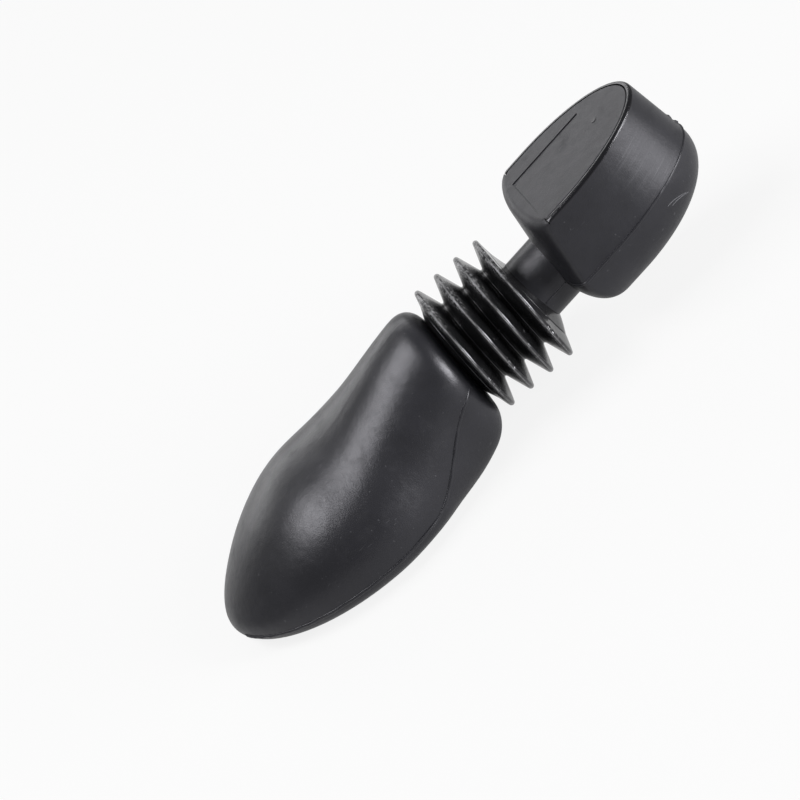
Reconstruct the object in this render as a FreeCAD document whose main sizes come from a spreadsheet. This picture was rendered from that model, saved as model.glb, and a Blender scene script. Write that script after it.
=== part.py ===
"""A sprung shoe stretcher: a hollow toe form, a bellows, a neck and a hollow heel block.

The row frame has +X from the toe to the heel, +Z up and the flat sole on Z = 0. The origin is under
the middle of the whole length. The bellows axis is level, and the neck and the heel block rise from
it by a small tilt. All lengths are millimetres and all angles are degrees.
"""
import FreeCAD, Part
import math
import os
import Sketcher
from FreeCAD import Placement, Rotation, Vector

# Driving sizes: name, value and meaning.
SIZES = [
    ("axis_height", 29.0, "bellows axis above the flat sole"),
    ("fit", 0.1, "radial clearance of a glued or clamped fit"),
    ("ridge_radius", 25.0, "bellows ridge"),
    ("valley_radius", 16.0, "bellows valley"),
    ("fold_pitch", 8.5, "from one ridge to the next"),
    ("ridge_land", 0.9, "flat on top of a ridge"),
    ("ridge_round", 0.6, "rounding beside that flat"),
    ("fold_wall", 2.3, "radial thickness of the folded wall"),
    ("front_cone", 4.2, "from the toe form to the first ridge"),
    ("rear_cone", 4.4, "from the last ridge to the neck"),
    ("collar_radius", 15.5, "bellows collar in the toe form"),
    ("flange_radius", 17.4, "flange of that collar"),
    ("flange_thick", 1.6, "its thickness"),
    ("plug_radius", 10.5, "bellows plug in the neck"),
    ("plug_length", 8.0, "its length"),
    ("plug_wall", 1.8, "its wall"),
    ("toe_length", 118.0, "toe form from its back face to its tip"),
    ("toe_wall", 3.4, "wall of the toe form"),
    ("back_width", 46.6, "toe form across its back"),
    ("ball_width", 78.0, "toe form across the ball"),
    ("ball_place", 60.0, "from the back face to the ball"),
    ("crown_height", 24.0, "top of the back above the axis"),
    ("ball_height", 9.0, "top of the ball above the axis"),
    ("ball_fullness", 2.2, "how full the ball section is, where 2 is an ellipse"),
    ("instep_length", 62.0, "from the back face to the end of the instep slope"),
    ("seam_drop", 22.0, "drop of the toe seam below the axis"),
    ("seam_run", 40.0, "from the back face to the end of that drop"),
    ("back_round", 8.0, "rounding of the back edge"),
    ("back_rise", 14.0, "rise of the sole towards the back"),
    ("back_rise_run", 25.0, "length of that rise"),
    ("sole_corner", 12.0, "width of the rounded sole edge"),
    ("sole_crown", 1.0, "rounding of the sole that its flat takes off"),
    ("toe_wedge", 0.55, "share of the ball height lost towards the tip"),
    ("heel_tilt", 8.3, "rise of the neck and the heel block from the bellows"),
    ("neck_radius", 12.2, "outside of the neck"),
    ("neck_length", 17.3, "neck from its front end to its flange"),
    ("neck_flange_radius", 15.0, "flange of the neck"),
    ("neck_flange_thick", 2.0, "its thickness"),
    ("socket_wall", 1.8, "socket around the neck"),
    ("heel_wall", 1.6, "wall of the heel block"),
    ("heel_front", 8.9, "neck end to the front of the block at its seam"),
    ("heel_lean", 6.5, "how far the front leans back at the top"),
    ("heel_wide_place", 30.8, "neck end to where the block starts to narrow"),
    ("heel_back", 72.6, "neck end to the back of the block"),
    ("heel_width", 43.8, "block across its sides at the seam"),
    ("heel_draft", 0.5, "how far the sides draw in at the top"),
    ("back_draft", 1.1, "how far the back draws in at the top"),
    ("heel_bulge", 6.4, "bulge of the front of the block"),
    ("heel_top", 26.2, "seam to the top of the block"),
    ("heel_edge", 1.2, "rounding of the top edge at the sides and the back"),
    ("front_edge", 3.0, "rounding of the top edge at the front"),
    ("heel_depth", 20.0, "seam to the bottom of the block"),
    ("bowl_front", 16.0, "rounding of the bowl at the front"),
    ("bowl_back", 32.5, "rounding of the bowl at the back"),
    ("bowl_side", 16.5, "rounding of the bowl at each side"),
    ("rim_width", 0.4, "flat rim between the top edge and the cover"),
    ("ledge_width", 1.4, "ledge inside the wall that carries the cover"),
    ("ledge_thick", 1.2, "its thickness"),
    ("cover_thick", 1.6, "cover plate"),
    ("cover_gap", 0.3, "gap between the cover and the rim"),
    ("cover_bevel", 0.3, "bevel of the cover's edge"),
    ("panel_margin", 6.2, "front of the block's top to the sunk panel"),
    ("panel_length", 31.3, "sunk panel along the block"),
    ("panel_width", 22.5, "sunk panel across the block"),
    ("panel_depth", 0.3, "depth of the panel"),
    ("vent_place", 17.4, "back of the block to the vent"),
    ("vent_radius", 0.7, "stem of the vent plug"),
    ("vent_head_radius", 1.1, "head of the vent plug"),
    ("vent_head_thick", 0.15, "its thickness"),
    ("vent_barb", 0.25, "barb under the cover"),
]
RIDGES = 4

doc = FreeCAD.newDocument("shoe_stretcher")
sheet = doc.addObject("Spreadsheet::Sheet", "Sizes")
for row, (alias, value, meaning) in enumerate(SIZES, start=1):
    sheet.set(f"A{row}", meaning)
    sheet.set(f"B{row}", str(value))
    sheet.setAlias(f"B{row}", alias)
doc.recompute()
nodes = {}


def size(alias):
    """Read one driving size from the sheet."""
    return float(sheet.get(alias))


# Places in the row frame, as expressions on the sheet. The neck ends where the bellows axis turns up.
TILT = "Sizes.heel_tilt"
AXIS_Z = "Sizes.axis_height"
BELLOWS_LENGTH = f"(Sizes.front_cone + {RIDGES - 1} * Sizes.fold_pitch + Sizes.rear_cone)"
NECK_X = f"(({BELLOWS_LENGTH} + Sizes.toe_length - Sizes.heel_back * cos({TILT})) / 2)"
NECK = (NECK_X, AXIS_Z)
TOE_BACK = (f"{NECK_X} - {BELLOWS_LENGTH}", AXIS_Z)


def evaluate(expression):
    """Work out an expression on the sheet as a plain number."""
    return float(sheet.evalExpression(expression))


def origin_feature(body, role):
    """Find one of a body's own origin planes or axes."""
    return next(f for f in body.Origin.OriginFeatures if f.Role == role)


def turned_piece(label, corners, place, axis="X_Axis", tilt=None):
    """Revolve a closed profile in the XZ plane, with every corner bound to the sheet."""
    body = doc.addObject("PartDesign::Body", label)
    body.Label = label
    sketch = body.newObject("Sketcher::SketchObject", label + "_profile")
    sketch.AttachmentSupport = [(origin_feature(body, "XZ_Plane"), "")]
    sketch.MapMode = "FlatFace"
    points = [Vector(evaluate(x), evaluate(z), 0) for x, z in corners]
    count = len(points)
    for i in range(count):
        sketch.addGeometry(Part.LineSegment(points[i], points[(i + 1) % count]), False)
    for i in range(count):
        sketch.addConstraint(Sketcher.Constraint("Coincident", i, 2, (i + 1) % count, 1))
    for i, (x, z) in enumerate(corners):
        for kind, expression, value in (("DistanceX", x, points[i].x), ("DistanceY", z, points[i].y)):
            index = sketch.addConstraint(Sketcher.Constraint(kind, -1, 1, i, 1, value))
            sketch.setExpression(f"Constraints[{index}]", expression)
    turn = body.newObject("PartDesign::Revolution", label + "_turn")
    turn.Profile = sketch
    turn.ReferenceAxis = (origin_feature(body, axis), [""])
    turn.Angle = 360
    body.Tip = turn
    if tilt:
        body.Placement = Placement(Vector(), Rotation(Vector(0, -1, 0), evaluate(tilt)))
        body.setExpression("Placement.Rotation.Angle", tilt)
    body.setExpression("Placement.Base.x", place[0])
    body.setExpression("Placement.Base.z", place[1])
    nodes[label] = body


def shaped_piece(label, shape, place, tilt=0.0):
    """Keep a shape made from the sheet's sizes, placed by its own origin."""
    feature = doc.addObject("Part::Feature", label)
    feature.Label = label
    feature.Shape = shape
    base = Vector(evaluate(place[0]), 0, evaluate(place[1]))
    feature.Placement = Placement(base, Rotation(Vector(0, -1, 0), tilt))
    nodes[label] = feature


# The bellows: half folds at both ends and whole folds between, each ring from its ridge plane.
LAND = "Sizes.ridge_land / 2"
RIDGE = "Sizes.ridge_radius"
VALLEY = "Sizes.valley_radius"
SHOULDER = f"{LAND} + Sizes.ridge_round"
SHOULDER_RADIUS = f"{RIDGE} - Sizes.ridge_round"
HALF_PITCH = "Sizes.fold_pitch / 2"


def inner(radius):
    """The inside radius that goes with an outside radius of the folded wall."""
    return f"{radius} - Sizes.fold_wall"


for number in range(1, RIDGES + 1):
    left = [(f"-{LAND}", inner(RIDGE)), (f"-{LAND}", RIDGE)]
    right = [(LAND, RIDGE), (LAND, inner(RIDGE))]
    if number > 1:
        shoulder = (f"-({SHOULDER})", SHOULDER_RADIUS)
        left = [left[0], (f"-{HALF_PITCH}", inner(VALLEY)), (f"-{HALF_PITCH}", VALLEY), shoulder, left[1]]
    if number < RIDGES:
        shoulder = (SHOULDER, SHOULDER_RADIUS)
        right = [right[0], shoulder, (HALF_PITCH, VALLEY), (HALF_PITCH, inner(VALLEY)), right[1]]
    ridge_x = f"{NECK_X} - Sizes.rear_cone - {RIDGES - number} * Sizes.fold_pitch"
    turned_piece(f"bellows_fold_{number}", left + right, (ridge_x, AXIS_Z))

# The front cone, from the first ridge to its middle, and the collar that carries the rest of it.
COLLAR = "Sizes.collar_radius"
FRONT_MIDDLE = f"({RIDGE} + {COLLAR}) / 2"
FRONT_RIDGE = f"Sizes.front_cone - {LAND}"
turned_piece(
    "bellows_front_flex",
    [
        ("Sizes.front_cone / 2", inner(FRONT_MIDDLE)),
        ("Sizes.front_cone / 2", FRONT_MIDDLE),
        (f"{FRONT_RIDGE} - Sizes.ridge_round", SHOULDER_RADIUS),
        (FRONT_RIDGE, RIDGE),
        (FRONT_RIDGE, inner(RIDGE)),
    ],
    TOE_BACK,
)
FLANGE_BACK = "-Sizes.toe_wall - Sizes.flange_thick"
turned_piece(
    "bellows_front_collar",
    [
        ("Sizes.front_cone / 2", inner(FRONT_MIDDLE)),
        ("Sizes.front_cone / 2", FRONT_MIDDLE),
        ("0", COLLAR),
        ("-Sizes.toe_wall", COLLAR),
        ("-Sizes.toe_wall", "Sizes.flange_radius"),
        (FLANGE_BACK, "Sizes.flange_radius"),
        (FLANGE_BACK, inner(COLLAR)),
        ("0", inner(COLLAR)),
    ],
    TOE_BACK,
)


def circle(x, radius, tilt):
    """A circle around the axis, leaning with the neck."""
    wire = Part.Wire([Part.makeCircle(radius, Vector(), Vector(1, 0, 0))])
    wire.Placement = Placement(Vector(x, 0, 0), Rotation(Vector(0, -1, 0), tilt))
    return wire


def leaning_cone(stations, thinner):
    """The solid through circles, each given as place, radius and lean."""
    return Part.makeLoft([circle(x, radius - thinner, tilt) for x, radius, tilt in stations], True, True)


# The rear cone leans from the last ridge to the neck, and its plug fits the bore of the neck.
tilt = size("heel_tilt")
rear = size("rear_cone")
at_ridge = (size("ridge_land") / 2 - rear, size("ridge_radius"), 0.0)
ridge_round = size("ridge_round")
at_shoulder = (at_ridge[0] + ridge_round, at_ridge[1] - ridge_round, 0.0)
at_middle = (-rear / 2, (size("ridge_radius") + size("neck_radius")) / 2, tilt / 3)
at_neck = (0.0, size("neck_radius"), tilt)
wall = size("fold_wall")
rear_flex = leaning_cone([at_ridge, at_shoulder, at_middle], 0).cut(leaning_cone([at_ridge, at_middle], wall))
shaped_piece("bellows_rear_flex", rear_flex, NECK)


def along_neck(radius, start, end):
    """A cylinder on the neck's own axis."""
    return Part.makeCylinder(radius, end - start, Vector(start, 0, 0), Vector(1, 0, 0))


plug_length = size("plug_length")
plug = along_neck(size("plug_radius"), 0, plug_length)
bore = along_neck(size("plug_radius") - size("plug_wall"), -rear, 2 * plug_length)
lean = Placement(Vector(), Rotation(Vector(0, -1, 0), tilt))
plug.Placement = lean
bore.Placement = lean.multiply(bore.Placement)
rear_collar = leaning_cone([at_middle, at_neck], 0).fuse(plug)
rear_collar = rear_collar.cut(leaning_cone([at_middle, at_neck], wall)).cut(bore)
shaped_piece("bellows_rear_collar", rear_collar, NECK)

# The neck: a tube with a flange behind the socket in the heel block.
NECK_BORE = "Sizes.plug_radius + Sizes.fit"
NECK_END = "Sizes.neck_length + Sizes.neck_flange_thick"
turned_piece(
    "neck_tube",
    [
        ("0", NECK_BORE),
        ("0", "Sizes.neck_radius"),
        ("Sizes.neck_length", "Sizes.neck_radius"),
        ("Sizes.neck_length", "Sizes.neck_flange_radius"),
        (NECK_END, "Sizes.neck_flange_radius"),
        (NECK_END, NECK_BORE),
    ],
    NECK,
    tilt=TILT,
)


def smooth(share):
    """Ease from 0 to 1 with level ends."""
    share = min(max(share, 0.0), 1.0)
    return share * share * (3 - 2 * share)


def rounding(run, length):
    """What a quarter ellipse still takes off at this run from its start, from 1 to 0."""
    return 1 - math.sqrt(1 - (1 - min(run / length, 1.0)) ** 2)


def back_rise(run):
    """How far the sole has still to come down at a run from the back of the toe form."""
    return size("back_rise") * rounding(run, size("back_rise_run"))


def toe_section(run):
    """Half width, height and depth about the seam, and the seam's height, at a run from the back."""
    past_ball = max(run - size("ball_place"), 0.0) / (size("toe_length") - size("ball_place"))
    closing = math.sqrt(1 - past_ball**2)
    widening = smooth(run / size("ball_place")) * (size("ball_width") - size("back_width")) / 2
    sinking = smooth(run / size("instep_length")) * (size("crown_height") - size("ball_height"))
    seam = -size("seam_drop") * smooth(run / size("seam_run"))
    edge = size("back_round") * rounding(run, size("back_round"))
    half = (size("back_width") / 2 + widening) * closing - edge
    height = (size("crown_height") - sinking - seam) * (1 - size("toe_wedge") * past_ball**2) * closing - edge
    depth = (size("axis_height") + size("sole_crown") + seam - back_rise(run)) * closing
    return half, height, depth, seam


def arc_edge(corner_from, corner_to, centre, run, fullness=2.0):
    """A quarter of a full ellipse between two corners of a section, each a (Y, Z) pair, about its centre."""
    steps = 10
    points = []
    for i in range(steps + 1):
        turn = math.pi / 2 * i / steps
        away, near = math.cos(turn), math.sin(turn)
        reach = (abs(away) ** fullness + abs(near) ** fullness) ** (-1 / fullness)
        y = centre[0] + (corner_from[0] - centre[0]) * away * reach
        y += (corner_to[0] - centre[0]) * near * reach
        z = centre[1] + (corner_from[1] - centre[1]) * away * reach
        z += (corner_to[1] - centre[1]) * near * reach
        points.append(Vector(-run, y, z))
    curve = Part.BSplineCurve()
    curve.interpolate(Points=points, Parameters=[i / steps for i in range(steps + 1)])
    return curve.toShape()


def line_edge(start, end, run):
    """A straight side of a section between two (Y, Z) pairs."""
    return Part.LineSegment(Vector(-run, *start), Vector(-run, *end)).toShape()


def toe_wire(run, upper, thinner):
    """One closed section of the toe form: its part above or below the seam."""
    half, height, depth, seam = toe_section(run)
    half -= thinner
    if upper:
        top = seam + height - thinner
        base = seam - thinner
        left, right = (half, seam), (-half, seam)
        full = 2.0 + (size("ball_fullness") - 2.0) * smooth(run / size("ball_place"))
        middle = (0, seam)
        arcs = [arc_edge(left, (0, top), middle, run, full), arc_edge((0, top), right, middle, run, full)]
    else:
        bottom = seam - depth + min(thinner, depth / 2)
        base = seam + thinner
        corner = size("sole_corner") * half / (size("ball_width") / 2)
        left, right = (half, seam), (-half, seam)
        inset = half - corner
        arcs = [
            arc_edge(left, (inset, bottom), (inset, seam), run),
            line_edge((inset, bottom), (-inset, bottom), run),
            arc_edge((-inset, bottom), right, (-inset, seam), run),
        ]
    if thinner:
        ends = [right, (-half, base), (half, base), left]
    else:
        ends = [right, left]
    closing_lines = [line_edge(ends[i], ends[i + 1], run) for i in range(len(ends) - 1)]
    return Part.Wire(arcs + closing_lines)


def toe_runs(start, tip_angle):
    """Runs of the sections, close together where the form rounds off at its back and its tip."""
    edge, ball, length = size("back_round"), size("ball_place"), size("toe_length")
    runs = [edge * (1 - math.cos(math.radians(a))) for a in (0, 20, 40, 62, 90)]
    runs += [edge + (ball - edge) * i / 7 for i in range(1, 8)]
    runs += [ball + (length - ball) * math.sin(math.radians(tip_angle * i / 7)) for i in range(1, 8)]
    return [start] + [run for run in runs if run > start + edge / 10]


def toe_half(upper):
    """One hollow half of the toe form, open for the collar of the bellows."""
    outside = Part.makeLoft([toe_wire(r, upper, 0.0) for r in toe_runs(0.0, 84)], True)
    thick = size("toe_wall")
    inside = Part.makeLoft([toe_wire(r, upper, thick) for r in toe_runs(thick, 56)], True)
    opening = along_neck(size("collar_radius") + size("fit"), -2 * thick, thick)
    half = outside.cut(inside).cut(opening)
    if not upper:
        length, width = size("toe_length"), size("ball_width")
        drop = size("axis_height")
        below = Part.makeBox(2 * length, 2 * width, drop, Vector(-2 * length, -width, -2 * drop))
        half = half.cut(below)
    return half


shaped_piece("toe_upper_shell", toe_half(True), TOE_BACK)
shaped_piece("toe_sole_shell", toe_half(False), TOE_BACK)


def half_ellipse(centre, reach, half, level):
    """A half ellipse across the block that reaches forward or back from its centre."""
    steps = 16
    points = []
    for i in range(steps + 1):
        turn = math.pi * i / steps
        side = math.copysign(half, reach) * math.cos(turn)
        points.append(Vector(centre + reach * math.sin(turn), -side, level))
    curve = Part.BSplineCurve()
    curve.interpolate(Points=points, Parameters=[i / steps for i in range(steps + 1)])
    return curve.toShape()


def block_wire(front, back, half, level):
    """The D-shaped outline of the heel block at one level."""
    bulge_place = front + size("heel_bulge")
    wide = size("heel_wide_place")
    return Part.Wire(
        [
            half_ellipse(bulge_place, -size("heel_bulge"), half, level),
            Part.LineSegment(Vector(bulge_place, -half, level), Vector(wide, -half, level)).toShape(),
            half_ellipse(wide, back - wide, half, level),
            Part.LineSegment(Vector(wide, half, level), Vector(bulge_place, half, level)).toShape(),
        ]
    )


def upper_wire(level, inset, shown_at=None, front_inset=None):
    """The outline of the block above its seam at one level, drawn in by an inset."""
    share = level / size("heel_top")
    front = size("heel_front") + size("heel_lean") * share + (inset if front_inset is None else front_inset)
    back = size("heel_back") - size("back_draft") * share - inset
    half = size("heel_width") / 2 - size("heel_draft") * share - inset
    return block_wire(front, back, half, level if shown_at is None else shown_at)


def top_wire(inset, level):
    """The outline of the block's top, drawn in by an inset and set at another level."""
    return upper_wire(size("heel_top"), inset, level)


def bowl(inset, depth, start):
    """The rounded lower half of the block, from its seam to its flat bottom."""
    wires = []
    if start:
        wires.append(bowl_wire(0.0, inset, start))
    last = math.radians(76)
    steps = 8
    for i in range(steps + 1):
        turn = last * i / steps
        level = -depth * (math.sin(turn) / math.sin(last)) ** 0.83
        wires.append(bowl_wire(1 - math.cos(turn) ** 0.83, inset, level))
    return Part.makeLoft(wires, True)


def bowl_wire(share, inset, level):
    """One outline of the bowl, with a share of its rounding taken off."""
    front = size("heel_front") + inset + size("bowl_front") * share
    back = size("heel_back") - inset - size("bowl_back") * share
    half = size("heel_width") / 2 - inset - size("bowl_side") * share
    return block_wire(front, back, half, level)


# The heel block's two hollow halves, each with its half of the socket around the neck.
heel_wall = size("heel_wall")
heel_top = size("heel_top")
heel_depth = size("heel_depth")
ledge = heel_top - size("cover_thick")
neck_length = size("neck_length")
passage = along_neck(size("neck_radius") + size("fit"), -neck_length, neck_length)
socket = along_neck(size("neck_radius") + size("fit") + size("socket_wall"), -neck_length, neck_length)

heel_edge = size("heel_edge")
front_edge = size("front_edge")
EDGE_STEPS = 6


def edge_inset(below, radius):
    """What the rounding of a top edge takes off at a depth below the top."""
    return radius * rounding(below, radius)


# The outside is drawn in by a small rounding at its sides and its back and by a larger one at its front.
turns = [math.pi / 2 * i / EDGE_STEPS for i in range(EDGE_STEPS + 1)]
depths = [front_edge * (1 - math.sin(turn)) for turn in turns]
depths = [depth for depth in depths if depth > 1.1 * heel_edge]
depths += [heel_edge * (1 - math.sin(turn)) for turn in turns]
wires = [upper_wire(0.0, 0.0)]
for depth in depths:
    drawn = edge_inset(depth, heel_edge)
    wires.append(upper_wire(heel_top - depth, drawn, front_inset=edge_inset(depth, front_edge)))
outside = Part.makeLoft(wires, True, True)
under_ledge = ledge - size("ledge_thick")
inside = Part.makeLoft([upper_wire(-heel_wall, heel_wall), upper_wire(under_ledge, heel_wall)], True, True)
opening = Part.Face(top_wire(heel_wall + size("ledge_width"), heel_top / 2)).extrude(Vector(0, 0, heel_top))
rim = heel_edge + size("rim_width")
recess = Part.Face(top_wire(rim, ledge)).extrude(Vector(0, 0, heel_top))


def front_space(end):
    """All the space above the ledge from the front of the block to a place behind it."""
    length, width = size("heel_back"), size("heel_width")
    return Part.makeBox(end + length, 2 * width, heel_top, Vector(-length, -width, ledge))


# The rim ends at the two front corners, and in front of them the cover reaches the outside.
corner = size("heel_front") + size("heel_lean") + size("heel_bulge")
lip = outside.common(front_space(corner))
hollow = outside.cut(inside).cut(opening).cut(recess).cut(front_space(corner + size("cover_gap")))
upper = hollow.fuse(outside.common(socket)).cut(passage)
shaped_piece("heel_upper_shell", upper.removeSplitter(), NECK, tilt)

outside = bowl(0.0, heel_depth, 0.0)
inside = bowl(heel_wall, heel_depth - heel_wall, heel_wall)
lower = outside.cut(inside).fuse(outside.common(socket)).cut(passage)
shaped_piece("heel_lower_shell", lower.removeSplitter(), NECK, tilt)

# The cover plate, with a bevelled edge, a front lip, a blank sunk panel and the hole for the vent plug.
cover_inset = rim + size("cover_gap")
bevel = size("cover_bevel")
plate = Part.makeLoft(
    [
        top_wire(cover_inset, ledge),
        top_wire(cover_inset, heel_top - bevel),
        top_wire(cover_inset + bevel, heel_top),
    ],
    True,
    True,
)
cover = plate.cut(front_space(corner)).fuse(lip).removeSplitter()
panel_corner = Vector(
    size("heel_front") + size("heel_lean") + size("panel_margin"),
    -size("panel_width") / 2,
    heel_top - size("panel_depth"),
)
panel = Part.makeBox(size("panel_length"), size("panel_width"), size("cover_thick"), panel_corner)
vent_s = size("heel_back") - size("vent_place")
vent_hole = Part.makeCylinder(size("vent_radius") + size("fit"), 2 * heel_top, Vector(vent_s, 0, 0))
shaped_piece("heel_cover", cover.cut(panel).cut(vent_hole), NECK, tilt)

# The vent plug: a flat head on the cover, a stem through it and a barb below it.
VENT_RUN = "(Sizes.heel_back - Sizes.vent_place)"
VENT = (
    f"{NECK_X} + {VENT_RUN} * cos({TILT}) - Sizes.heel_top * sin({TILT})",
    f"{AXIS_Z} + {VENT_RUN} * sin({TILT}) + Sizes.heel_top * cos({TILT})",
)
BARB = "Sizes.vent_radius + Sizes.fit + Sizes.vent_barb"
turned_piece(
    "vent_plug",
    [
        ("0", "Sizes.vent_head_thick"),
        ("Sizes.vent_head_radius", "Sizes.vent_head_thick"),
        ("Sizes.vent_head_radius", "0"),
        ("Sizes.vent_radius", "0"),
        ("Sizes.vent_radius", "-Sizes.cover_thick"),
        (BARB, "-Sizes.cover_thick"),
        ("Sizes.vent_radius", "-Sizes.cover_thick - 3 * Sizes.vent_barb"),
        ("0", "-Sizes.cover_thick - 3 * Sizes.vent_barb"),
    ],
    VENT,
    axis="Z_Axis",
    tilt=TILT,
)

# Every piece has to be sound before any file is written.
doc.recompute()
for item in doc.Objects:
    if "Invalid" in item.State or "Error" in item.State:
        raise RuntimeError(f"{item.Label} failed: {item.State}")
for label, item in nodes.items():
    if item.Shape.isNull() or not item.Shape.isValid() or len(item.Shape.Solids) != 1:
        raise RuntimeError(f"{label} isn't one sound solid")

os.makedirs("parts", exist_ok=True)
for label, item in nodes.items():
    item.Shape.exportStep(f"parts/{label}.step")
    box = item.Shape.BoundBox
    spans = f"X {box.XMin:.2f} to {box.XMax:.2f}, Z {box.ZMin:.2f} to {box.ZMax:.2f}"
    print(f"{label}: {item.Shape.Volume:.0f} mm3, {spans}")
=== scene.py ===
"""Looks of the sprung shoe stretcher: materials, the folded bellows, mould lines, light and camera."""
import math
import bmesh
import bpy
from mathutils import Matrix, Vector, noise


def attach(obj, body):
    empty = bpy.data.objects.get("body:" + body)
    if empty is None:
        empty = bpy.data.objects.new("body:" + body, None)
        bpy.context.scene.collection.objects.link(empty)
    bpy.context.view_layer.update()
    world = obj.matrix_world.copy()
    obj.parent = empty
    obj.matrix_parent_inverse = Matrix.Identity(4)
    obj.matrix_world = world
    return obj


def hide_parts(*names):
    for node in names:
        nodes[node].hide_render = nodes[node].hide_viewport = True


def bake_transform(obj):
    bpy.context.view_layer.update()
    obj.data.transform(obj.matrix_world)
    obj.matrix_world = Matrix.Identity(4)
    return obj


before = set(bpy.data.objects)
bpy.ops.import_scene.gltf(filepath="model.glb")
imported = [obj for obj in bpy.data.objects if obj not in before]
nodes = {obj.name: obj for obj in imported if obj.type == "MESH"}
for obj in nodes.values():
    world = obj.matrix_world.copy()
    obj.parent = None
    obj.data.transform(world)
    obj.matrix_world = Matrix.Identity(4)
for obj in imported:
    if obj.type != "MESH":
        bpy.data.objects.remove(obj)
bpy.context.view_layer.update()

# Main sizes of the part in metres.
AXIS_Z = 0.029
RIDGE = 0.025
VALLEY = 0.016
PITCH = 0.0085
FRONT_CONE = 0.0042
REAR_CONE = 0.0044
COLLAR = 0.0155
COLLAR_DEPTH = 0.002
WALL = 0.0023
NECK_RADIUS = 0.0122
NECK_X = 0.0401302
TOE_BACK = NECK_X - FRONT_CONE - 3 * PITCH - REAR_CONE
RIDGES = [TOE_BACK + FRONT_CONE + PITCH * i for i in range(4)]

# The heel block's own frame starts at the neck and rises towards the back; its sizes are along that frame.
TILT = math.radians(8.3)
HEEL = Matrix.Translation((NECK_X, 0, AXIS_Z)) @ Matrix.Rotation(-TILT, 4, "Y")
HEEL_TOP = 0.0262
HEEL_FRONT = 0.0089
HEEL_BACK = 0.0726
HEEL_HALF = 0.0219
HEEL_BULGE = 0.0064
HEEL_WIDEST = 0.0308
BACK_DRAFT = 0.0011
SOCKET_HALF = 0.0135

# The toe form's outline at its seam, measured from its back end.
TOE_LENGTH = 0.118
TOE_BALL = 0.060
TOE_EDGE = 0.008
TOE_HALF_BACK = 0.0233
TOE_HALF_GROWTH = 0.0157
SEAM_DROP = 0.022
SEAM_RUN = 0.040


def smooth(share):
    """Ease from 0 to 1 with level ends."""
    share = min(max(share, 0.0), 1.0)
    return share * share * (3 - 2 * share)


def grid_piece(name, rows, close_rows, close_columns):
    """A smooth mesh over rows of points, closed round on either way or on both."""
    count = len(rows[0])
    vertices = [point for row in rows for point in row]
    faces = []
    last_row = len(rows) if close_rows else len(rows) - 1
    last_column = count if close_columns else count - 1
    for r in range(last_row):
        for c in range(last_column):
            below = (r + 1) % len(rows)
            beside = (c + 1) % count
            faces.append((r * count + c, r * count + beside, below * count + beside, below * count + c))
    mesh = bpy.data.meshes.new(name)
    mesh.from_pydata(vertices, [], faces)
    mesh.update()
    mesh.polygons.foreach_set("use_smooth", [True] * len(mesh.polygons))
    piece = bpy.data.objects.new(name, mesh)
    bpy.context.scene.collection.objects.link(piece)
    return piece


def outward(piece):
    """Turn the faces of a closed piece outwards."""
    work = bmesh.new()
    work.from_mesh(piece.data)
    bmesh.ops.recalc_face_normals(work, faces=work.faces)
    work.to_mesh(piece.data)
    work.free()
    piece.data.update()


# Scales of the plastic's patterns in waves per metre, and the heights of its bumps in metres.
CLOUD_SCALE = 45
RUBBED_SCALE = 130
SPECK_SCALE = 700
PATCH_SCALE = 85
GRAIN_SCALE = 2300
DIMPLE_SCALE = 190
GRAIN_HEIGHT = 0.00014
DIMPLE_HEIGHT = 0.0006
WEAR_HEIGHT = 0.00012
DIMPLE_STRENGTH = 0.22
WEAR_STRENGTH = 0.25

# Each set of scratches has a turn, and its waves per metre across and along the scratches.
SCRATCHES = (((0.3, 0.5, 0.9), 2600, 120), ((1.1, 0.2, 2.2), 2200, 160))
SCRATCH_SHARE = 0.40
SPECK_SHARE = 0.30

# Finish of the plastic.
RUBBED_ROUGHNESS = 0.10
WEAR_ROUGHNESS = 0.10
POLISHED_ROUGHNESS = 0.16
GLOSS = 0.4
GLOSS_TINT = (0.95, 0.94, 1.0, 1.0)
BRUSHED = 0.85
# Pale colour of scratches, specks and rub marks, also used for painted highlights.
PALE = (0.085, 0.085, 0.092)
# Near-black of the heel block's top edge, a painted dark reflection.
PAINTED_EDGE_SHADE = (0.0040, 0.0040, 0.0048)
# Grey of the dust on the folds, and of the painted highlight along their crests.
DUST_AND_SHEEN = (0.20, 0.20, 0.205)
BLACK = ((0.0100, 0.0101, 0.0122), (0.0145, 0.0146, 0.0174))
COVER_BLACK = ((0.0120, 0.0121, 0.0143), (0.0165, 0.0166, 0.0192))
# A darker black for the vent plug, painted shade so that the small plug shows as a dark mark on the cover.
PLUG_SHADE_BLACK = ((0.006, 0.006, 0.007), (0.009, 0.009, 0.010))
FOLD_BLACK = ((0.0050, 0.0050, 0.0055), (0.0095, 0.0095, 0.0102))
SCUFF_GREY = ((0.050, 0.050, 0.056), (0.085, 0.085, 0.092))


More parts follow.
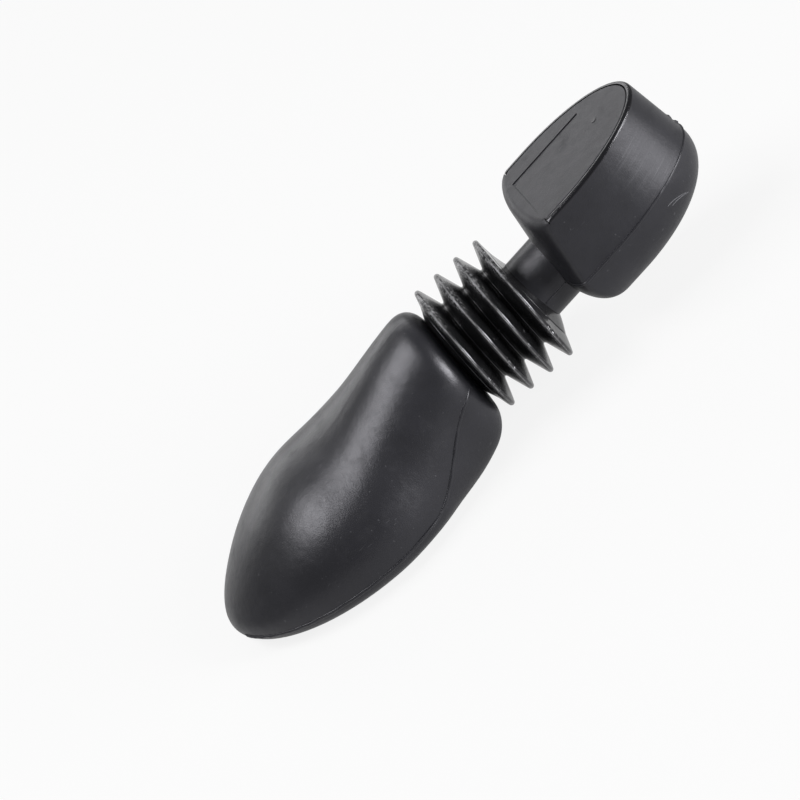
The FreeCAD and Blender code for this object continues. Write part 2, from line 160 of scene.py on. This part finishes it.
class Graph:
    """A small helper that adds and joins shader nodes."""

    def __init__(self, name):
        self.material = bpy.data.materials.new(name)
        self.material.use_nodes = True
        self.tree = self.material.node_tree
        self.shader = self.tree.nodes["Principled BSDF"]
        self.place = self.add("ShaderNodeTexCoord").outputs["Object"]

    def add(self, kind, **settings):
        """Add a node, and set its properties."""
        node = self.tree.nodes.new(kind)
        for key, value in settings.items():
            setattr(node, key, value)
        return node

    def join(self, start, end):
        """Link an output to an input, or set a plain value."""
        if isinstance(start, (int, float)):
            end.default_value = start
        else:
            self.tree.links.new(start, end)

    def math(self, operation, first, second=0.0, third=0.0):
        """A math node on outputs or plain numbers."""
        node = self.add("ShaderNodeMath", operation=operation)
        self.join(first, node.inputs[0])
        self.join(second, node.inputs[1])
        self.join(third, node.inputs[2])
        return node.outputs[0]

    def noise(self, vector, scale, detail=2.0, rough=0.5):
        """Noise from 0 to 1 on a vector."""
        node = self.add("ShaderNodeTexNoise")
        self.join(vector, node.inputs["Vector"])
        node.inputs["Scale"].default_value = scale
        node.inputs["Detail"].default_value = detail
        node.inputs["Roughness"].default_value = rough
        return node.outputs["Fac"]

    def between(self, value, low, high, to_low=0.0, to_high=1.0):
        """Map a value smoothly from one range to another."""
        node = self.add("ShaderNodeMapRange", interpolation_type="SMOOTHSTEP")
        self.join(value, node.inputs["Value"])
        node.inputs["From Min"].default_value = low
        node.inputs["From Max"].default_value = high
        node.inputs["To Min"].default_value = to_low
        node.inputs["To Max"].default_value = to_high
        return node.outputs["Result"]

    def mix(self, share, first, second):
        """Mix two colours, each an output or a plain colour."""
        node = self.add("ShaderNodeMix", data_type="RGBA")
        self.join(share, node.inputs[0])
        for item, socket in ((first, node.inputs[6]), (second, node.inputs[7])):
            if isinstance(item, tuple):
                socket.default_value = (*item, 1.0)
            else:
                self.join(item, socket)
        return node.outputs[2]

    def bump(self, height, strength, distance, under=None):
        """A bump of a height, on top of another bump."""
        node = self.add("ShaderNodeBump")
        node.inputs["Strength"].default_value = strength
        node.inputs["Distance"].default_value = distance
        self.join(height, node.inputs["Height"])
        if under:
            self.join(under, node.inputs["Normal"])
        return node.outputs["Normal"]

    def apart(self, vector):
        """The X, Y and Z of a vector."""
        node = self.add("ShaderNodeSeparateXYZ")
        self.join(vector, node.inputs[0])
        return node.outputs["X"], node.outputs["Y"], node.outputs["Z"]

    def strokes(self, turn, fine, long):
        """Short thin scratches that all run one way, here and there."""
        stretched = self.add("ShaderNodeMapping")
        self.join(self.place, stretched.inputs["Vector"])
        stretched.inputs["Rotation"].default_value = turn
        stretched.inputs["Scale"].default_value = (long, fine, fine)
        line = self.between(self.noise(stretched.outputs["Vector"], 1.0, 1, 0.5), 0.70, 0.78)
        shown = self.between(self.noise(self.place, PATCH_SCALE, 2, 0.6), 0.55, 0.68)
        return self.math("MULTIPLY", line, shown)


def plastic(name, colours, rough, grain, wear_and_sheen=None, brushed=0.0, pale=PALE, polish_and_shade=None):
    """Moulded plastic: cloudy colour, fine grain, rubbed patches, short scratches and local wear; a given
    mask may add painted highlights to the pale wear colour, and another may darken an edge as a painted dark
    reflection.
    """
    g = Graph(name)
    clouds = g.noise(g.place, CLOUD_SCALE, 4, 0.6)
    colour = g.mix(g.between(clouds, 0.3, 0.7), *colours)
    rubbed = g.between(g.noise(g.place, RUBBED_SCALE, 5, 0.7), 0.50, 0.72)
    scratches = g.math("MAXIMUM", *[g.strokes(*item) for item in SCRATCHES])
    specks = g.between(g.noise(g.place, SPECK_SCALE, 1), 0.74, 0.80)
    scratches = g.math("MULTIPLY", scratches, SCRATCH_SHARE)
    worn_and_sheen = g.math("MAXIMUM", scratches, g.math("MULTIPLY", specks, SPECK_SHARE))
    if wear_and_sheen:
        worn_and_sheen = g.math("MAXIMUM", worn_and_sheen, wear_and_sheen(g))
    # Pale colour: scratches, specks and wear, and inside the given masks a painted highlight.
    colour = g.mix(worn_and_sheen, colour, pale)
    roughness = g.math("MULTIPLY_ADD", rubbed, RUBBED_ROUGHNESS, rough)
    roughness = g.math("MULTIPLY_ADD", worn_and_sheen, WEAR_ROUGHNESS, roughness)
    if polish_and_shade:
        smoothed_and_shaded = polish_and_shade(g)
        # Painted dark reflection: the edge's colour goes near-black; its lower roughness is a real polish.
        colour = g.mix(smoothed_and_shaded, colour, PAINTED_EDGE_SHADE)
        roughness = g.math("MULTIPLY_ADD", smoothed_and_shaded, POLISHED_ROUGHNESS - rough, roughness)
    g.join(colour, g.shader.inputs["Base Color"])
    g.join(roughness, g.shader.inputs["Roughness"])
    normal = g.bump(g.noise(g.place, GRAIN_SCALE, 3, 0.6), grain, GRAIN_HEIGHT)
    normal = g.bump(g.noise(g.place, DIMPLE_SCALE, 2, 0.5), DIMPLE_STRENGTH, DIMPLE_HEIGHT, normal)
    normal = g.bump(worn_and_sheen, WEAR_STRENGTH, WEAR_HEIGHT, normal)
    g.join(normal, g.shader.inputs["Normal"])
    g.shader.inputs["Specular IOR Level"].default_value = GLOSS
    g.shader.inputs["Specular Tint"].default_value = GLOSS_TINT
    if brushed:
        upright = g.add("ShaderNodeCombineXYZ")
        upright.inputs["Z"].default_value = 1.0
        g.join(upright.outputs[0], g.shader.inputs["Tangent"])
        g.shader.inputs["Anisotropic"].default_value = brushed
    return g.material


def heel_place(g):
    """Coordinates in the heel block's own level frame."""
    own = g.add("ShaderNodeVectorRotate", rotation_type="AXIS_ANGLE")
    g.join(g.place, own.inputs["Vector"])
    own.inputs["Center"].default_value = (NECK_X, 0, AXIS_Z)
    own.inputs["Axis"].default_value = (0, 1, 0)
    own.inputs["Angle"].default_value = TILT
    return own.outputs[0]


# The smoothed and darkened top edge starts and is full at these depths below the top of the heel block; its
# darkening is a painted dark reflection.
POLISH_SHADE_START = 0.00135
POLISH_SHADE_FULL = 0.00095

# The pale patch on the heel block, rub marks over a painted highlight: its streaks, its middle behind the
# neck, and where it fades.
STREAK_SCALE = (32, 32, 1500)
PATCH_MIDDLE = 0.0560
PATCH_REACH = (0.001, 0.013)
PATCH_FOOT = (-0.001, 0.003)
PATCH_HEAD = (0.014, 0.026)
LOOSE_SCALE = 150

# Dust on the folds: the heights above the axis and the distances from it where it begins and is full.
DUST_LEVEL = (0.0175, 0.0245)
DUST_REACH = (0.0195, 0.0245)
EDGE_SCALE = 420
DUST_SCALE = 850
MOTTLE_SCALE = 300


def heel_polish_and_shade(g):
    """The rounded edge at the top of the heel block, smooth from handling, and darkened as a painted dark
    reflection.
    """
    level = g.apart(heel_place(g))[2]
    return g.between(level, AXIS_Z + HEEL_TOP - POLISH_SHADE_START, AXIS_Z + HEEL_TOP - POLISH_SHADE_FULL)


def heel_rubs_and_highlight(g):
    """Fine rub marks round the curved sides of the heel block, from use, over a soft pale patch that is a
    painted highlight.
    """
    own = heel_place(g)
    stretch = g.add("ShaderNodeMapping")
    g.join(own, stretch.inputs["Vector"])
    stretch.inputs["Scale"].default_value = STREAK_SCALE
    streaks = g.between(g.noise(stretch.outputs[0], 1.0, 3, 0.65), 0.46, 0.70)
    along, _, height = g.apart(own)
    away = g.math("ABSOLUTE", g.math("SUBTRACT", along, NECK_X + PATCH_MIDDLE))
    here = g.between(away, *PATCH_REACH, 1.0, 0.0)
    level = g.math("SUBTRACT", height, AXIS_Z)
    tall = g.math("MULTIPLY", g.between(level, *PATCH_FOOT), g.between(level, *PATCH_HEAD, 1.0, 0.0))
    patch = g.math("MULTIPLY", here, tall)
    loose = g.between(g.noise(g.place, LOOSE_SCALE, 3, 0.6), 0.30, 0.65, 0.35, 1.0)
    # The even lightening across the patch is a painted highlight; the streaks on it are rub marks.
    marks = g.math("MULTIPLY_ADD", streaks, 0.36, 0.20)
    return g.math("MULTIPLY", g.math("MULTIPLY", patch, loose), marks)


def fold_wear_and_sheen(g):
    """Thin pale ridge lines, rubbed wear and a painted highlight along the crests, and dust that has settled
    on the upper side of the folds.
    """
    edge = g.add("ShaderNodeAttribute", attribute_name="ridge").outputs["Fac"]
    patchy = g.between(g.noise(g.place, EDGE_SCALE, 3, 0.6), 0.30, 0.62, 0.18, 0.75)
    _, across, height = g.apart(g.place)
    level = g.math("SUBTRACT", height, AXIS_Z)
    squares = g.math("ADD", g.math("POWER", across, 2.0), g.math("POWER", level, 2.0))
    reach = g.math("SQRT", squares)
    high = g.math("MULTIPLY", g.between(level, *DUST_LEVEL), g.between(reach, *DUST_REACH))
    grains = g.between(g.noise(g.place, DUST_SCALE, 4, 0.75), 0.42, 0.68)
    mottle = g.between(g.noise(g.place, MOTTLE_SCALE, 3, 0.7), 0.55, 0.75, 0.0, 0.10)
    dust = g.math("MULTIPLY", g.math("MAXIMUM", high, mottle), grains)
    return g.math("MAXIMUM", g.math("MULTIPLY", edge, patchy), dust)


shell = plastic("shell_satin", BLACK, 0.33, 0.40)
heel_shell = plastic("heel_satin", BLACK, 0.40, 0.35, heel_rubs_and_highlight, BRUSHED, polish_and_shade=heel_polish_and_shade)
cover = plastic("cover_satin", COVER_BLACK, 0.40, 0.40)
plug = plastic("plug_satin", PLUG_SHADE_BLACK, 0.30, 0.30)
fold = plastic("bellows_gloss", FOLD_BLACK, 0.16, 0.15, fold_wear_and_sheen, pale=DUST_AND_SHEEN)
bowl = plastic("bowl_satin", BLACK, 0.36, 0.35)
scuffed = plastic("scuff_pale", SCUFF_GREY, 0.45, 0.40)

for name, material in (
    ("toe_upper_shell", shell),
    ("toe_sole_shell", shell),
    ("neck_tube", shell),
    ("heel_upper_shell", heel_shell),
    ("heel_lower_shell", bowl),
    ("heel_cover", cover),
    ("vent_plug", plug),
):
    nodes[name].data.materials.clear()
    nodes[name].data.materials.append(material)


# The bellows: rings from ridge to ridge.
CREST = 0.00105
CREST_END = 72
CREST_STEP = 12
FLANK_STEPS = 8
CONE_STEPS = 6
REAR_STEPS = 7
UNEVEN = 0.00010
UNEVEN_ALONG = 90
UNEVEN_ROUND = 2.2
# Depth below the ridge top over which the crests turn pale, partly wear and partly a painted highlight.
WORN_AND_SHEEN_EDGE = 0.00004

# Points round a ring: even turns, and a finer set about the mould line at both sides.
TURNS = 192
FINE_TURNS = 36
FINE_STEP = 0.008
FINE_MIDDLES = (0.0001, math.pi)

# Rounding of a valley: distances from its middle, and the rise there.
VALLEY_ROUND = ((0.0005, 0.00045), (0.00025, 0.00012))

# Height and width of the mould line everywhere on the rings, and of what it gains on the ridges.
LINE_HEIGHT = 0.00022
LINE_WIDTH = 0.00046
RIDGE_LINE_HEIGHT = 0.00050
RIDGE_LINE_WIDTH = 0.00075

# Each lump of flash has a place below the mould line, a height and a width.
FLASH = ((0.0027, 0.00050, 0.00070), (0.0050, 0.00042, 0.00085))
FLASH_DRIFT = 0.0004


def ring_point(x, radius, turn, lean=0.0):
    """A point round the bellows axis, on a plane that leans about the Y axis."""
    y = radius * math.cos(turn)
    z = radius * math.sin(turn)
    return Vector((x - z * math.sin(lean), y, AXIS_Z + z * math.cos(lean)))


def bell(distance, width):
    """A smooth bump of height 1."""
    return math.exp(-((distance / width) ** 2))


def mould_line(x, turn, share):
    """Height of the mould line at both sides of a ring, with uneven flash below it on the ridges."""
    below = math.asin(-math.sin(turn)) * RIDGE
    share = max(share, 0.0)
    number = round((x - RIDGES[0]) / PITCH)
    total = LINE_HEIGHT * bell(below, LINE_WIDTH)
    total += RIDGE_LINE_HEIGHT * share**4 * bell(below, RIDGE_LINE_WIDTH)
    for lump, (place, height, width) in enumerate(FLASH):
        place += FLASH_DRIFT * math.sin(1.3 * number + lump)
        height *= 1 + 0.4 * math.sin(2.4 * number + 1.7 * lump)
        total += height * share**6 * bell(below - place, width)
    return total


def waver(x, turn):
    """A slight unevenness of the moulded wall."""
    spot = Vector((x * UNEVEN_ALONG, UNEVEN_ROUND * math.cos(turn), UNEVEN_ROUND * math.sin(turn)))
    return UNEVEN * noise.noise(spot)


def ring(name, outside, stands_for):
    """A closed ring from an outside profile of (x, radius, lean), in place of the parts it hides."""
    turns = [2 * math.pi * i / TURNS for i in range(TURNS)]
    fine = [k * FINE_STEP for k in range(-FINE_TURNS, FINE_TURNS + 1)]
    turns = sorted(set(turns + [(t + f) % (2 * math.pi) for t in FINE_MIDDLES for f in fine]))
    rows = []
    for x, radius, lean in outside:
        share = (radius - VALLEY) / (RIDGE - VALLEY)
        row = []
        for turn in turns:
            grown = radius + mould_line(x, turn, share) + waver(x, turn)
            row.append(ring_point(x, grown, turn, lean))
        rows.append(row)
    for x, radius, lean in reversed(outside):
        rows.append([ring_point(x, radius - WALL, turn, lean) for turn in turns])
    piece = grid_piece(name, rows, True, True)
    # Pale crest lines, partly wear and partly a painted highlight.
    worn_and_sheen = [smooth((r - RIDGE + WORN_AND_SHEEN_EDGE) / WORN_AND_SHEEN_EDGE) for x, r, lean in outside] + [0.0] * len(outside)
    ridge = piece.data.attributes.new("ridge", "FLOAT", "POINT")
    ridge.data.foreach_set("value", [w for w in worn_and_sheen for turn in turns])
    outward(piece)
    piece.data.materials.append(fold)
    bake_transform(piece)
    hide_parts(*stands_for)


def on_axis(x):
    """A point on the bellows axis."""
    return Vector((x, 0, AXIS_Z))


def part_way(first, last, share):
    """The x and the radius at a share of the way between two profile points."""
    x = first[0] + (last[0] - first[0]) * share
    return x, first[1] + (last[1] - first[1]) * share


def flank(first, last, steps):
    """Points of a straight flank between two profile points, its two ends left out."""
    return [(*part_way(first, last, i / steps), 0.0) for i in range(1, steps)]


def half_ridge(x, side):
    """From the middle of a rounded ridge down to where its flank starts."""
    points = []
    for turn in range(0, CREST_END + 1, CREST_STEP):
        a = math.radians(turn)
        points.append((x + side * CREST * math.sin(a), RIDGE - CREST * (1 - math.cos(a)), 0.0))
    return points


def valley(x):
    """A rounded valley between two flanks."""
    before = [(x - away, VALLEY + rise, 0.0) for away, rise in VALLEY_ROUND]
    after = [(x + away, VALLEY + rise, 0.0) for away, rise in reversed(VALLEY_ROUND)]
    return before + [(x, VALLEY, 0.0)] + after


for i in range(3):
    left = half_ridge(RIDGES[i], 1)
    right = half_ridge(RIDGES[i + 1], -1)[::-1]
    bottom = valley((RIDGES[i] + RIDGES[i + 1]) / 2)
    profile = left + flank(left[-1], bottom[0], FLANK_STEPS)
    profile += bottom + flank(bottom[-1], right[0], FLANK_STEPS) + right
    stands_for = [f"bellows_fold_{i + 1}"] if i < 2 else ["bellows_fold_3", "bellows_fold_4"]
    name = f"bellows_fold_{i + 1}_to_{i + 2}"
    near, far = on_axis(RIDGES[i]), on_axis(RIDGES[i + 1])
    ring(name, profile, stands_for)

# The front cone, in two rings that meet at its middle.
front_foot = (TOE_BACK, COLLAR, 0.0)
front_middle = (TOE_BACK + FRONT_CONE / 2, (RIDGE + COLLAR) / 2, 0.0)
front_ridge = half_ridge(RIDGES[0], -1)[::-1]
inner_front = [(TOE_BACK - COLLAR_DEPTH, COLLAR, 0.0), front_foot]
inner_front += flank(front_foot, front_middle, CONE_STEPS) + [front_middle]
outer_front = [front_middle] + flank(front_middle, front_ridge[0], CONE_STEPS) + front_ridge
near, middle, far = on_axis(TOE_BACK), on_axis(front_middle[0]), on_axis(RIDGES[0])
ring("bellows_front_cone_inner", inner_front, ["bellows_front_collar"])
ring("bellows_front_cone_outer", outer_front, ["bellows_front_flex"])

# The rear cone leans over to the neck, in two rings that meet at its middle.
MIDDLE_LEAN = TILT / 3
rear_middle = (NECK_X - REAR_CONE / 2, (RIDGE + NECK_RADIUS) / 2)
rear_end = (NECK_X, NECK_RADIUS)
outer_rear = half_ridge(RIDGES[3], 1)
rear_start = outer_rear[-1]
for i in range(1, REAR_STEPS + 1):
    share = i / REAR_STEPS
    outer_rear.append((*part_way(rear_start, rear_middle, share), MIDDLE_LEAN * share))
inner_rear = []
for i in range(REAR_STEPS + 1):
    share = i / REAR_STEPS
    inner_rear.append((*part_way(rear_middle, rear_end, share), MIDDLE_LEAN + TILT * 2 / 3 * share))

# Start and length of the stretch where each rear ring would turn along its leaning line; the end points are
# worked out, but nothing reads them.
OUTER_LEAN = TILT / 6
OUTER_START = 0.00062
OUTER_TURNING = 0.00112
INNER_LEAN = TILT * 2 / 3
INNER_START = 0.00092
INNER_TURNING = 0.00066
outer_line = Vector((math.cos(OUTER_LEAN), 0, math.sin(OUTER_LEAN)))
inner_line = Vector((math.cos(INNER_LEAN), 0, math.sin(INNER_LEAN)))
near = on_axis(RIDGES[3]) + outer_line * OUTER_START
far = near + outer_line * OUTER_TURNING
ring("bellows_rear_cone_outer", outer_rear, ["bellows_rear_flex"])
near = on_axis(rear_middle[0]) + inner_line * INNER_START
far = near + inner_line * INNER_TURNING
ring("bellows_rear_cone_inner", inner_rear, ["bellows_rear_collar"])


# Raised mould lines and marks, each with its width and height.
TOE_LINE = (0.0013, 0.00058)
NECK_LINE = (0.0007, 0.00022)
HEEL_LINE = (0.0010, 0.00045)
GATE_MARK = (0.0013, 0.0007)
SCUFF_LINE = (0.00034, 0.00009)
BEAD_SINK = 0.0002
BEAD_STEPS = 6
BEAD_TAPER = 4


def toe_half_width(run):
    """Half the toe form's width at its seam, and the seam's height above the axis, at a run from the back."""
    past = max(run - TOE_BALL, 0.0) / (TOE_LENGTH - TOE_BALL)
    off = TOE_EDGE * (1 - math.sqrt(1 - (1 - min(run / TOE_EDGE, 1.0)) ** 2))
    full = TOE_HALF_BACK + TOE_HALF_GROWTH * smooth(run / TOE_BALL)
    return full * math.sqrt(1 - past**2) - off, -SEAM_DROP * smooth(run / SEAM_RUN)


def cap_ends(piece, count, size):
    """Close the two ends of a bead of so many rows, with flat faces."""
    mesh = piece.data
    ends = [tuple(range(size)), tuple(range((count - 1) * size, count * size))]
    polygons = [tuple(p.vertices) for p in mesh.polygons] + ends
    vertices = [v.co.copy() for v in mesh.vertices]
    mesh.clear_geometry()
    mesh.from_pydata(vertices, [], polygons)
    mesh.polygons.foreach_set("use_smooth", [True] * (len(polygons) - 2) + [False] * 2)


def bead(name, path, normals, size, body, material):
    """A low rounded bead along a path, lying on the surface with the given outward normals."""
    width, height = size
    rows = []
    count = len(path)
    for i, point in enumerate(path):
        along = (path[min(i + 1, count - 1)] - path[max(i - 1, 0)]).normalized()
        out = normals[i].normalized()
        across = along.cross(out).normalized()
        grow = 0.75 + 0.5 * noise.noise(point * 260) + 0.25 * noise.noise(point * 900)
        grow = max(grow, 0.25)
        taper = smooth(min(i, count - 1 - i) / BEAD_TAPER)
        tall = height * grow * taper
        row = []
        for k in range(BEAD_STEPS + 1):
            turn = math.pi * k / BEAD_STEPS
            row.append(point + across * (width / 2 * math.cos(turn)) + out * (tall * math.sin(turn)))
        for k in range(BEAD_STEPS, -1, -2):
            turn = math.pi * k / BEAD_STEPS
            row.append(point + across * (width / 2 * math.cos(turn)) - out * BEAD_SINK)
        rows.append(row)
    piece = grid_piece(name, rows, False, True)
    cap_ends(piece, count, len(rows[0]))
    outward(piece)
    piece.data.materials.append(material)
    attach(piece, body)


# The lines along both sides of the toe form and of the neck.
TOE_POINTS = 140
TOE_START = 0.0012
TOE_RUN = 0.114
TOE_CROWDING = 1.6
SLOPE_STEP = 0.0005
NECK_POINTS = 20
NECK_START = 0.0004
NECK_RUN = 0.0095
for side, word in ((-1, "near"), (1, "far")):
    path, normals = [], []
    for i in range(TOE_POINTS + 1):
        run = TOE_START + TOE_RUN * (1 - (1 - i / TOE_POINTS) ** TOE_CROWDING)
        half, seam = toe_half_width(run)
        ahead, _ = toe_half_width(run + SLOPE_STEP)
        slope = (ahead - half) / SLOPE_STEP
        path.append(Vector((TOE_BACK - run, side * half, AXIS_Z + seam)))
        normals.append(Vector((slope, side, 0)))
    bead(f"toe_mould_line_{word}", path, normals, TOE_LINE, "toe", shell)
    path = []
    for i in range(NECK_POINTS + 1):
        path.append(HEEL @ Vector((NECK_START + NECK_RUN * i / NECK_POINTS, side * NECK_RADIUS, 0)))
    normals = [HEEL.to_3x3() @ Vector((0, side, 0))] * len(path)
    bead(f"neck_mould_line_{word}", path, normals, NECK_LINE, "heel", shell)

# Points round the D outline of the heel block: how many on the front, on each side and round the back.
FRONT_POINTS = 60
SIDE_POINTS = 20
BACK_POINTS = 90
BLOCK_MIDDLE = Vector((0.04, 0, 0))


def block_outline():
    """Points and outward directions round the D outline of the heel block in its own frame."""
    corner = HEEL_FRONT + HEEL_BULGE
    points = []
    for i in range(FRONT_POINTS + 1):
        turn = math.pi * i / FRONT_POINTS
        points.append((corner - HEEL_BULGE * math.sin(turn), HEEL_HALF * math.cos(turn)))
    for i in range(1, SIDE_POINTS):
        points.append((corner + (HEEL_WIDEST - HEEL_FRONT - HEEL_BULGE) * i / SIDE_POINTS, -HEEL_HALF))
    for i in range(BACK_POINTS + 1):
        turn = math.pi * i / BACK_POINTS
        back = HEEL_WIDEST + (HEEL_BACK - HEEL_WIDEST) * math.sin(turn)
        points.append((back, -HEEL_HALF * math.cos(turn)))
    for i in range(1, SIDE_POINTS):
        points.append((HEEL_WIDEST + (corner - HEEL_WIDEST) * i / SIDE_POINTS, HEEL_HALF))
    path = [Vector((x, y, 0.0)) for x, y in points]
    normals = []
    for i, point in enumerate(path):
        along = path[(i + 1) % len(path)] - path[i - 1]
        normal = Vector((along.y, -along.x, 0)).normalized()
        normals.append(normal if normal.dot(point - BLOCK_MIDDLE) > 0 else -normal)
    return path, normals


# The heel's line runs from one side of the neck's socket round the back to the other side.
path, normals = block_outline()
start = next(i for i, p in enumerate(path) if p.y < SOCKET_HALF)
end = max(i for i, p in enumerate(path[:FRONT_POINTS + 1]) if p.y > -SOCKET_HALF)
order = list(range(end + 1, len(path))) + list(range(0, start))
seam_path = [HEEL @ path[i] for i in order]
seam_normals = [HEEL.to_3x3() @ normals[i] for i in order]
bead("heel_mould_line", seam_path, seam_normals, HEEL_LINE, "heel", heel_shell)

# A gate mark at the back of the heel block, in two lumps with their lowest and highest levels.
GATE_POINTS = 12
for word, low, high in (("low", 0.0012, 0.0034), ("high", 0.0042, 0.0068)):
    levels = [low + (high - low) * i / GATE_POINTS for i in range(GATE_POINTS + 1)]
    path = [HEEL @ Vector((HEEL_BACK - BACK_DRAFT * v / HEEL_TOP, 0, v)) for v in levels]
    normals = [HEEL.to_3x3() @ Vector((1, 0, 0))] * len(path)
    bead(f"heel_gate_mark_{word}", path, normals, GATE_MARK, "heel", heel_shell)

# Two curved scuffs on one side of the bowl, along a curve with these four control points.
SCUFF = (
    (0.0576, -0.0150, -0.0092),
    (0.0556, -0.0169, -0.0070),
    (0.0532, -0.0181, -0.0057),
    (0.0506, -0.0189, -0.0054),
)
SCUFF_POINTS = 32


def scuff(name, offset):
    """A thin raised burr along a curve on the bowl, set on its surface."""
    holder = nodes["heel_lower_shell"]
    a, b, c, d = (HEEL @ (Vector(p) + Vector(offset)) for p in SCUFF)
    path, normals = [], []
    for i in range(SCUFF_POINTS + 1):
        t = i / SCUFF_POINTS
        s = 1 - t
        curve = a * s**3 + b * (3 * s * s * t) + c * (3 * s * t * t) + d * t**3
        _, spot, normal, _ = holder.closest_point_on_mesh(holder.matrix_world.inverted() @ curve)
        path.append(holder.matrix_world @ spot)
        normals.append(holder.matrix_world.to_3x3() @ normal)
    bead(name, path, normals, SCUFF_LINE, "heel", scuffed)


scuff("bowl_scuff_long", (0, 0, 0))
scuff("bowl_scuff_short", (0.0012, 0, -0.0016))

# Plain pale floor that keeps the shadow of the object.
FLOOR_SIZE = 12
FLOOR_LEVEL = -0.0002
FLOOR_COLOUR = (0.55, 0.55, 0.55, 1)
WHITE = (1, 1, 1, 1)
SHOWN_WHITE = 0.85
MIRRORED_WHITE = 0.38


def pale_floor():
    """A wide floor, white to the camera and to reflections."""
    bpy.ops.mesh.primitive_plane_add(size=FLOOR_SIZE, location=(0, 0, FLOOR_LEVEL))
    floor = bpy.context.object
    floor.name = "floor"
    material = bpy.data.materials.new("floor_white")
    material.use_nodes = True
    tree = material.node_tree
    tree.nodes.clear()
    out = tree.nodes.new("ShaderNodeOutputMaterial")
    matte = tree.nodes.new("ShaderNodeBsdfDiffuse")
    matte.inputs["Color"].default_value = FLOOR_COLOUR
    glow = tree.nodes.new("ShaderNodeEmission")
    glow.inputs["Color"].default_value = WHITE
    glow.inputs["Strength"].default_value = 1.0
    rays = tree.nodes.new("ShaderNodeLightPath")
    mirrored = tree.nodes.new("ShaderNodeMath")
    mirrored.operation = "MULTIPLY"
    mirrored.inputs[1].default_value = MIRRORED_WHITE
    tree.links.new(rays.outputs["Is Glossy Ray"], mirrored.inputs[0])
    share = tree.nodes.new("ShaderNodeMath")
    share.operation = "MULTIPLY_ADD"
    share.inputs[1].default_value = SHOWN_WHITE
    tree.links.new(rays.outputs["Is Camera Ray"], share.inputs[0])
    tree.links.new(mirrored.outputs[0], share.inputs[2])
    mix = tree.nodes.new("ShaderNodeMixShader")
    tree.links.new(share.outputs[0], mix.inputs[0])
    tree.links.new(matte.outputs[0], mix.inputs[1])
    tree.links.new(glow.outputs[0], mix.inputs[2])
    tree.links.new(mix.outputs[0], out.inputs[0])
    floor.data.materials.append(material)


pale_floor()

# Soft studio light: an even surround and five soft boxes.
SURROUND = 0.28
AIM = Vector((0.0, 0.0, 0.03))
world = bpy.data.worlds.new("surround")
bpy.context.scene.world = world
world.use_nodes = True
world.node_tree.nodes["Background"].inputs["Color"].default_value = WHITE
world.node_tree.nodes["Background"].inputs["Strength"].default_value = SURROUND


def soft_box(name, direction, distance, wide, tall, glow):
    """An area light of an even brightness that faces the middle of the part, its width along X."""
    light = bpy.data.lights.new(name, "AREA")
    light.shape = "RECTANGLE"
    light.size = wide
    light.size_y = tall
    light.energy = math.pi * wide * tall * glow
    back = Vector(direction).normalized()
    across = Vector((1, 0, 0))
    across = (across - back * across.dot(back)).normalized()
    axes = Matrix((across, back.cross(across), back)).transposed().to_4x4()
    lamp = bpy.data.objects.new(name, light)
    lamp.matrix_world = Matrix.Translation(AIM + back * distance) @ axes
    bpy.context.scene.collection.objects.link(lamp)


soft_box("key_strip", (-0.40, 0.05, 0.91), distance=1.0, wide=0.38, tall=0.70, glow=10.8)
soft_box("rim_box", (-0.38, 0.90, 0.22), distance=1.3, wide=0.60, tall=0.24, glow=3.9)
soft_box("back_box", (0.12, 0.88, 0.46), distance=1.3, wide=0.75, tall=0.42, glow=3.2)
soft_box("ridge_box", (0.71, -0.64, 0.28), distance=1.0, wide=0.16, tall=0.60, glow=25.0)
soft_box("side_box", (0.85, -0.48, 0.14), distance=1.1, wide=0.34, tall=0.24, glow=34.0)

# The camera, turned about its own line of sight to the part's pose.
ROLL = math.radians(43.5)
RISE = math.radians(32.0)
TURN = math.radians(5.0)
LENS = 121.5
SENSOR = 36.0
CAMERA_DISTANCE = 0.9
CAMERA_LEFT = 0.0312
CAMERA_DOWN = 0.0257


def aim_camera():
    """Place the camera at the viewing angle, a little left of and below the middle of the bellows."""
    back = Vector((math.sin(TURN) * math.cos(RISE), -math.cos(TURN) * math.cos(RISE), math.sin(RISE)))
    level = Vector((math.cos(TURN), math.sin(TURN), 0))
    upright = back.cross(level)
    right = level * math.cos(ROLL) - upright * math.sin(ROLL)
    up = level * math.sin(ROLL) + upright * math.cos(ROLL)
    target = on_axis((RIDGES[0] + RIDGES[3]) / 2)
    data = bpy.data.cameras.new("view")
    data.lens = LENS
    data.sensor_width = SENSOR
    camera = bpy.data.objects.new("view", data)
    spot = target + back * CAMERA_DISTANCE - right * CAMERA_LEFT - up * CAMERA_DOWN
    axes = Matrix((right, up, back)).transposed().to_4x4()
    camera.matrix_world = Matrix.Translation(spot) @ axes
    bpy.context.scene.collection.objects.link(camera)
    bpy.context.scene.camera = camera


aim_camera()
bpy.context.scene.view_settings.view_transform = "Standard"
